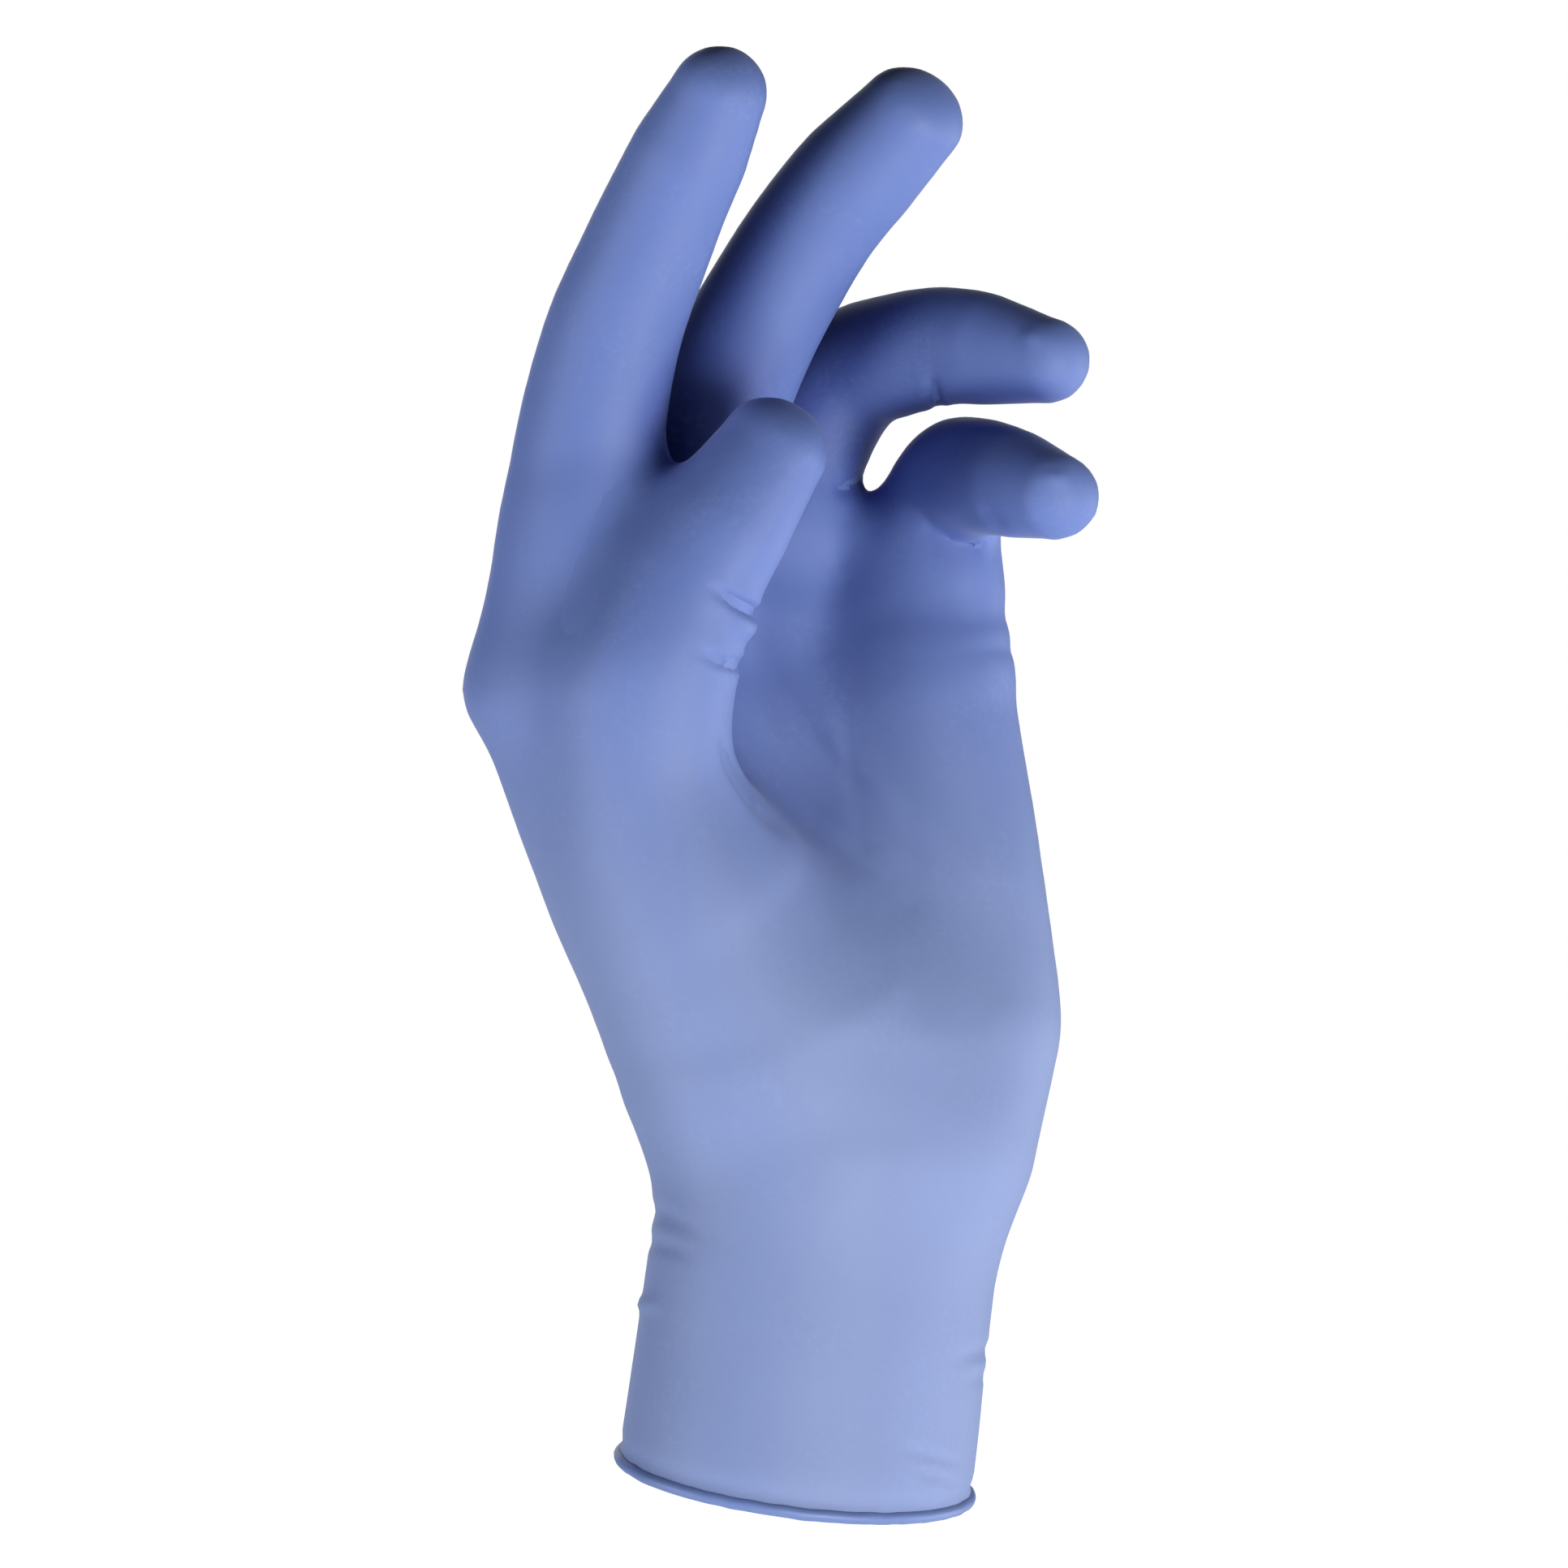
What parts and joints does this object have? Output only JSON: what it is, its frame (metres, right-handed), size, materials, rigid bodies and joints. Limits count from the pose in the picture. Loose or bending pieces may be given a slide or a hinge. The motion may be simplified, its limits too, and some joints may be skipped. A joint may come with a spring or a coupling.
{
  "type": "nitrile exam glove",
  "caption": "Thin disposable glove for the left hand in a blue film, with a rolled bead at the cuff, keeping the relaxed pose of a raised hand.",
  "frame": {"origin": "middle of the cuff's open end, where a wrist goes in", "axes": "+Z from the opening up the wrist to the fingertips, the thumb side towards -Y, the little finger side towards +X and +Y, and the palm faces between +X and -Y"},
  "size_m": [0.1009, 0.0713, 0.236],
  "materials": {
    "nitrile": "matt, finely powdery film"
  },
  "bodies": {
    "root": {"glove": "nitrile"}
  },
  "joints": []
}
